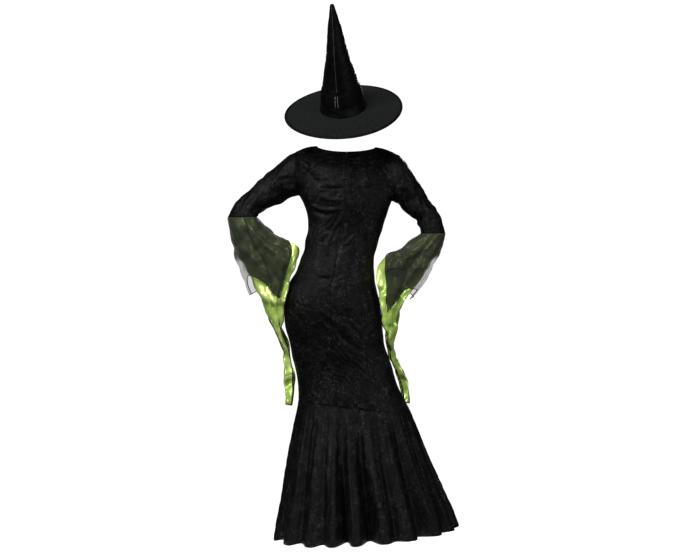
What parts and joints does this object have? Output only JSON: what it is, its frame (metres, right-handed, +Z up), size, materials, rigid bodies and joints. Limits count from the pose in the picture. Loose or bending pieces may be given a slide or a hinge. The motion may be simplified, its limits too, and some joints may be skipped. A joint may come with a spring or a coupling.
{
  "type": "witch costume",
  "caption": "Witch costume: long velvet mermaid dress with flared hem and satin-lined net bell sleeves, and a pointed wide-brimmed hat above it.",
  "frame": {"origin": "centre of the neck opening on the shoulder line, where the wearer holds the dress up", "axes": "+Z up, +X the wearer's left, +Y the garment's back, which the picture shows, -Y its front"},
  "size_m": [0.8622, 0.5459, 1.9527],
  "materials": {
    "velvet": "crushed pile velvet, soft sheen",
    "satin": "glossy satin",
    "net": "sheer net",
    "felt": "matte felt",
    "band": "pleated satin",
    "zip_cloth": "woven tape",
    "zip_metal": "black enamel"
  },
  "bodies": {
    "costume": {"front_panel": "velvet", "back_panel_left": "velvet", "back_panel_right": "velvet", "zip_tape": "zip_cloth", "zip_slider": "zip_metal", "sleeve_left": "velvet", "sleeve_right": "velvet", "satin_cuff_left": "satin", "satin_cuff_right": "satin", "net_cuff_left": "net", "net_cuff_right": "net", "flounce_back": "velvet", "flounce_front": "velvet", "hat_cone": "velvet", "hat_band": "band", "hat_brim": "felt", "brim_binding": "velvet"},
    "pull_tab": {"zip_pull": "zip_metal"}
  },
  "joints": [
    {"name": "pull_tab_hinge", "type": "hinge", "parent": "costume", "child": "pull_tab", "pos_m": [0, 0.06745, -0.0295], "axis": [1, 0, 0], "range_deg": [0, 150]}
  ]
}
